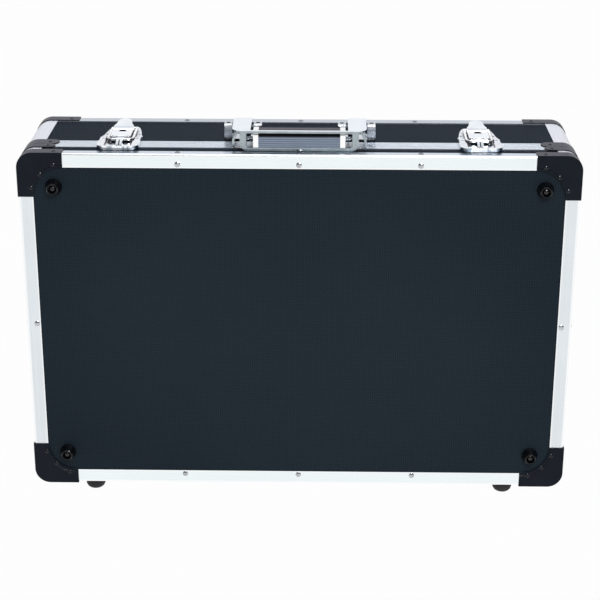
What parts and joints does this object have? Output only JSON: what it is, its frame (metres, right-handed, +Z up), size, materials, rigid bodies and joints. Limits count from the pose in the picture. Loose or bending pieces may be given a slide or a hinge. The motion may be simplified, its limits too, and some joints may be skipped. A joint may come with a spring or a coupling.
{
  "type": "guitar pedal case",
  "caption": "Black laminate carrying case with aluminium edges, a hinged deep lid, draw latches with locks, a folding handle and a carpeted pedal board inside.",
  "frame": {"origin": "centre of the bounding box in X and Y, on the plane that the bottom feet stand on", "axes": "+Z up as the case stands on its hinge side with the handle on top; +X along the width; the base's underside with its round feet faces -Y, the lid's top faces +Y"},
  "size_m": [0.5934, 0.1546, 0.4213],
  "materials": {
    "laminate": "black laminate with a fine embossed pattern on fibreboard",
    "aluminium": "satin anodised extrusion",
    "guard_plastic": "black semi-gloss moulded corner guards",
    "rivet_metal": "domed aluminium rivets",
    "dark_rivet": "small domed rivets lacquered black",
    "foot_plastic": "black moulded feet",
    "black_screw": "black lacquered screw heads",
    "rubber": "matt rubber",
    "plywood": "birch plywood",
    "carpet": "loop carpet that takes hook tape",
    "foam": "soft open-cell foam with an egg-crate face",
    "chrome": "bright chrome plated steel",
    "ferrule_chrome": "bright chrome plated steel",
    "grip_plastic": "blue-grey moulded grip with fine lengthwise ribs",
    "lock_metal": "dull die-cast metal"
  },
  "bodies": {
    "base": {"base_panel": "laminate", "base_wall_top": "laminate", "base_wall_bottom": "laminate", "base_wall_left": "laminate", "base_wall_right": "laminate", "base_edge_top": "aluminium", "base_edge_bottom": "aluminium", "base_edge_left": "aluminium", "base_edge_right": "aluminium", "base_corner_posts": "aluminium", "base_closure_rails": "aluminium", "base_corner_guards": "guard_plastic", "base_closure_guards": "guard_plastic", "base_rivets": "rivet_metal", "base_guard_rivets": "dark_rivet", "face_feet": "foot_plastic", "face_foot_screws": "black_screw", "base_feet": "rubber", "board_battens": "plywood", "pedal_board": "plywood", "board_carpet": "carpet", "keeper_left": "chrome", "keeper_right": "chrome", "keeper_hooks": "chrome", "hinge_leaves_base": "chrome", "hinge_pins": "chrome"},
    "lid": {"lid_panel": "laminate", "lid_wall_top": "laminate", "lid_wall_bottom": "laminate", "lid_wall_left": "laminate", "lid_wall_right": "laminate", "lid_edge_top": "aluminium", "lid_edge_bottom": "aluminium", "lid_edge_left": "aluminium", "lid_edge_right": "aluminium", "lid_corner_posts": "aluminium", "lid_closure_rails": "aluminium", "lid_corner_guards": "guard_plastic", "lid_closure_guards": "guard_plastic", "lid_rivets": "rivet_metal", "lid_guard_rivets": "dark_rivet", "lid_feet": "rubber", "lid_foam": "foam", "hinge_leaves_lid": "chrome", "handle_bracket_left": "chrome", "handle_bracket_right": "chrome", "handle_pins": "chrome", "latch_plate_left": "chrome", "latch_plate_right": "chrome", "lever_pins": "chrome"},
    "handle": {"handle_frame": "chrome", "handle_grip": "grip_plastic", "handle_ferrules": "ferrule_chrome"},
    "lever_l": {"lever_left": "chrome"},
    "lever_r": {"lever_right": "chrome"},
    "bail_l": {"bail_left": "chrome"},
    "bail_r": {"bail_right": "chrome"},
    "plug_l": {"lock_plug_left": "lock_metal"},
    "plug_r": {"lock_plug_right": "lock_metal"}
  },
  "joints": [
    {"name": "lid_hinge", "type": "hinge", "parent": "base", "child": "lid", "pos_m": [0, -0.034, 0.0113], "axis": [-1, 0, 0], "range_deg": [0, 100]},
    {"name": "handle_fold", "type": "hinge", "parent": "lid", "child": "handle", "pos_m": [0, -0.00335, 0.411], "axis": [-1, 0, 0], "range_deg": [0, 110]},
    {"name": "lever_left", "type": "hinge", "parent": "lid", "child": "lever_l", "pos_m": [-0.191, -0.02235, 0.4036], "axis": [1, 0, 0], "range_deg": [0, 95]},
    {"name": "bail_left", "type": "hinge", "parent": "lever_l", "child": "bail_l", "pos_m": [-0.191, 0.01765, 0.4033], "axis": [1, 0, 0], "range_deg": [-124, 0]},
    {"name": "lock_left", "type": "hinge", "parent": "lever_l", "child": "plug_l", "pos_m": [-0.191, -0.00195, 0.4045], "axis": [0, 0, 1], "range_deg": [0, 90]},
    {"name": "lever_right", "type": "hinge", "parent": "lid", "child": "lever_r", "pos_m": [0.191, -0.02235, 0.4036], "axis": [1, 0, 0], "range_deg": [0, 95]},
    {"name": "bail_right", "type": "hinge", "parent": "lever_r", "child": "bail_r", "pos_m": [0.191, 0.01765, 0.4033], "axis": [1, 0, 0], "range_deg": [-124, 0]},
    {"name": "lock_right", "type": "hinge", "parent": "lever_r", "child": "plug_r", "pos_m": [0.191, -0.00195, 0.4045], "axis": [0, 0, 1], "range_deg": [0, 90]}
  ],
  "couplings": [
    {"joint": "bail_left", "follows": "lever_left", "ratio": -1.3},
    {"joint": "bail_right", "follows": "lever_right", "ratio": -1.3}
  ]
}
